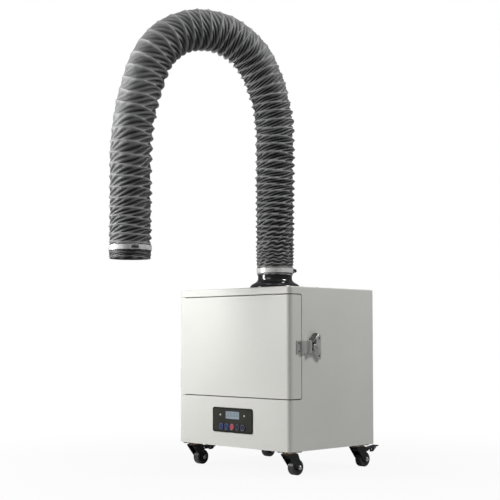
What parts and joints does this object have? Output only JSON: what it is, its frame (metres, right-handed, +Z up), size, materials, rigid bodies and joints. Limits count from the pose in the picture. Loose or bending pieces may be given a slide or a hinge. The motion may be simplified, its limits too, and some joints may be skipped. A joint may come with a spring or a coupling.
{
  "type": "solder fume extractor",
  "caption": "Sheet-steel filter cabinet on swivel casters with a hinged door, side latch, key panel and a self-supporting fabric fume duct arched over its front.",
  "frame": {"origin": "on the floor under the middle of the whole object's box, with the duct at rest", "axes": "+Z up; -Y the front with the door and key panel; +X the latch side"},
  "size_m": [0.3538, 0.5324, 0.9907],
  "materials": {
    "cabinet_paint": "satin powder coat, warm off-white",
    "zinc_sheet": "zinc-plated sheet steel",
    "latch_steel": "nickel-plated pressed steel",
    "panel_film": "matt overlay film",
    "display_glass": "backlit display window",
    "key_blue": "moulded key",
    "key_red": "moulded key",
    "key_dark": "moulded key",
    "lamp_lens": "moulded lens",
    "circuit_board": "glass-fibre board",
    "black_moulding": "polished moulded plastic",
    "band_steel": "stainless band",
    "duct_fabric": "coated fabric over a wire helix",
    "filter_white": "pleated filter paper in a board frame",
    "filter_grey": "non-woven media",
    "carbon_media": "honeycomb with carbon granules",
    "foam_seal": "closed-cell foam strip",
    "fan_plastic": "moulded blower",
    "caster_black": "black-coated pressed steel",
    "race_gold": "yellow-passivated ball race",
    "wheel_rubber": "moulded tread"
  },
  "bodies": {
    "root": {"cabinet_shell": "cabinet_paint", "base_plate": "cabinet_paint", "rear_panel": "cabinet_paint", "divider_plate": "zinc_sheet", "door_jamb": "cabinet_paint", "filter_chamber": "zinc_sheet", "carbon_filter": "carbon_media", "hepa_filter": "filter_white", "medium_filter": "filter_grey", "pre_filter": "filter_white", "door_gasket": "foam_seal", "hinge_cabinet": "latch_steel", "hinge_pins": "latch_steel", "latch_base": "latch_steel", "latch_pin": "latch_steel", "control_panel": "panel_film", "display_window": "display_glass", "indicator_lamps": "lamp_lens", "control_board": "circuit_board", "inlet_flange": "black_moulding", "clamp_base": "band_steel", "blower_housing": "fan_plastic", "motor": "fan_plastic", "power_inlet": "black_moulding", "caster_plates": "caster_black", "caster_races": "race_gold", "cabinet_screws": "latch_steel"},
    "door": {"door_skin": "cabinet_paint", "door_pan": "cabinet_paint", "hinge_door": "latch_steel", "latch_keeper": "latch_steel"},
    "latch_handle": {"latch_hub": "latch_steel", "latch_wing": "latch_steel"},
    "latch_hook": {"latch_claw": "latch_steel"},
    "fan": {"impeller": "fan_plastic"},
    "rocker": {"power_rocker": "black_moulding"},
    "duct_base": {"duct_lower": "duct_fabric", "bellows_lean": "duct_fabric"},
    "duct_mid": {"duct_riser": "duct_fabric", "duct_arch_rear": "duct_fabric", "bellows_arch": "duct_fabric"},
    "duct_front": {"duct_drop": "duct_fabric", "bellows_drop": "duct_fabric"},
    "duct_end": {"duct_nozzle": "duct_fabric", "clamp_end": "band_steel"},
    "button_1": {"key_1": "key_blue"},
    "button_2": {"key_2": "key_blue"},
    "button_3": {"key_3": "key_red"},
    "button_4": {"key_4": "key_dark"},
    "button_5": {"key_5": "key_dark"},
    "caster_fl": {"fork_fl": "caster_black"},
    "roller_fl": {"wheel_fl": "wheel_rubber"},
    "brake_fl": {"pedal_fl": "caster_black"},
    "caster_fr": {"fork_fr": "caster_black"},
    "roller_fr": {"wheel_fr": "wheel_rubber"},
    "caster_rl": {"fork_rl": "caster_black"},
    "roller_rl": {"wheel_rl": "wheel_rubber"},
    "caster_rr": {"fork_rr": "caster_black"},
    "roller_rr": {"wheel_rr": "wheel_rubber"},
    "brake_rr": {"pedal_rr": "caster_black"}
  },
  "joints": [
    {"name": "door_hinge", "type": "hinge", "parent": "root", "child": "door", "pos_m": [-0.17363, -0.0133, 0.2615], "axis": [0, 0, -1], "range_deg": [0, 110]},
    {"name": "latch_turn", "type": "hinge", "parent": "root", "child": "latch_handle", "pos_m": [0.17338, 0.0302, 0.2605], "axis": [-1, 0, 0], "range_deg": [0, 180]},
    {"name": "latch_lift", "type": "hinge", "parent": "root", "child": "latch_hook", "pos_m": [0.17158, 0.0167, 0.2605], "axis": [0, 0, 1], "range_deg": [0, 70]},
    {"name": "press_1", "type": "slide", "parent": "root", "child": "button_1", "axis": [0, 1, 0], "range_m": [0, 0.0008], "stiffness_N_per_m": 500, "springref_m": -0.0006},
    {"name": "press_2", "type": "slide", "parent": "root", "child": "button_2", "axis": [0, 1, 0], "range_m": [0, 0.0008], "stiffness_N_per_m": 500, "springref_m": -0.0006},
    {"name": "press_3", "type": "slide", "parent": "root", "child": "button_3", "axis": [0, 1, 0], "range_m": [0, 0.0008], "stiffness_N_per_m": 500, "springref_m": -0.0006},
    {"name": "press_4", "type": "slide", "parent": "root", "child": "button_4", "axis": [0, 1, 0], "range_m": [0, 0.0008], "stiffness_N_per_m": 500, "springref_m": -0.0006},
    {"name": "press_5", "type": "slide", "parent": "root", "child": "button_5", "axis": [0, 1, 0], "range_m": [0, 0.0008], "stiffness_N_per_m": 500, "springref_m": -0.0006},
    {"name": "fan_spin", "type": "hinge", "parent": "root", "child": "fan", "pos_m": [-0.00162, 0.0947, 0.1], "axis": [0, 0, 1], "continuous": true},
    {"name": "power_switch", "type": "hinge", "parent": "root", "child": "rocker", "pos_m": [0.09337, 0.2272, 0.118], "axis": [0, 0, 1], "range_deg": [0, 14]},
    {"name": "duct_turn", "type": "hinge", "parent": "root", "child": "duct_base", "pos_m": [-0.00162, 0.0947, 0.427], "axis": [0, 0, 1], "range_deg": [-90, 90]},
    {"name": "duct_lean", "type": "hinge", "parent": "duct_base", "child": "duct_mid", "pos_m": [-0.00162, 0.0947, 0.536], "axis": [0.9397, -0.342, 0], "range_deg": [-12, 22], "deforming": ["bellows_lean"]},
    {"name": "duct_arch", "type": "hinge", "parent": "duct_mid", "child": "duct_front", "pos_m": [-0.06027, -0.06642, 0.94652], "axis": [-0.9397, 0.342, 0], "range_deg": [-10, 20], "deforming": ["bellows_arch"]},
    {"name": "duct_nozzle_bend", "type": "hinge", "parent": "duct_front", "child": "duct_end", "pos_m": [-0.11628, -0.2203, 0.67912], "axis": [-0.9397, 0.342, 0], "range_deg": [-30, 40], "deforming": ["bellows_drop"]},
    {"name": "swivel_fl", "type": "hinge", "parent": "root", "child": "caster_fl", "pos_m": [-0.14463, -0.0128, 0.045], "axis": [0, 0, 1], "continuous": true},
    {"name": "roll_fl", "type": "hinge", "parent": "caster_fl", "child": "roller_fl", "pos_m": [-0.14463, 0.0052, 0.016], "axis": [1, 0, 0], "continuous": true},
    {"name": "brake_fl", "type": "hinge", "parent": "caster_fl", "child": "brake_fl", "pos_m": [-0.14463, -0.0038, 0.0386], "axis": [-1, 0, 0], "range_deg": [0, 8]},
    {"name": "swivel_fr", "type": "hinge", "parent": "root", "child": "caster_fr", "pos_m": [0.14138, -0.0128, 0.045], "axis": [0, 0, 1], "continuous": true},
    {"name": "roll_fr", "type": "hinge", "parent": "caster_fr", "child": "roller_fr", "pos_m": [0.14138, 0.0052, 0.016], "axis": [1, 0, 0], "continuous": true},
    {"name": "swivel_rl", "type": "hinge", "parent": "root", "child": "caster_rl", "pos_m": [-0.14463, 0.2022, 0.045], "axis": [0, 0, 1], "continuous": true},
    {"name": "roll_rl", "type": "hinge", "parent": "caster_rl", "child": "roller_rl", "pos_m": [-0.14463, 0.2202, 0.016], "axis": [1, 0, 0], "continuous": true},
    {"name": "swivel_rr", "type": "hinge", "parent": "root", "child": "caster_rr", "pos_m": [0.14138, 0.2022, 0.045], "axis": [0, 0, 1], "continuous": true},
    {"name": "roll_rr", "type": "hinge", "parent": "caster_rr", "child": "roller_rr", "pos_m": [0.14138, 0.2202, 0.016], "axis": [1, 0, 0], "continuous": true},
    {"name": "brake_rr", "type": "hinge", "parent": "caster_rr", "child": "brake_rr", "pos_m": [0.14138, 0.2112, 0.0386], "axis": [-1, 0, 0], "range_deg": [0, 8]}
  ]
}
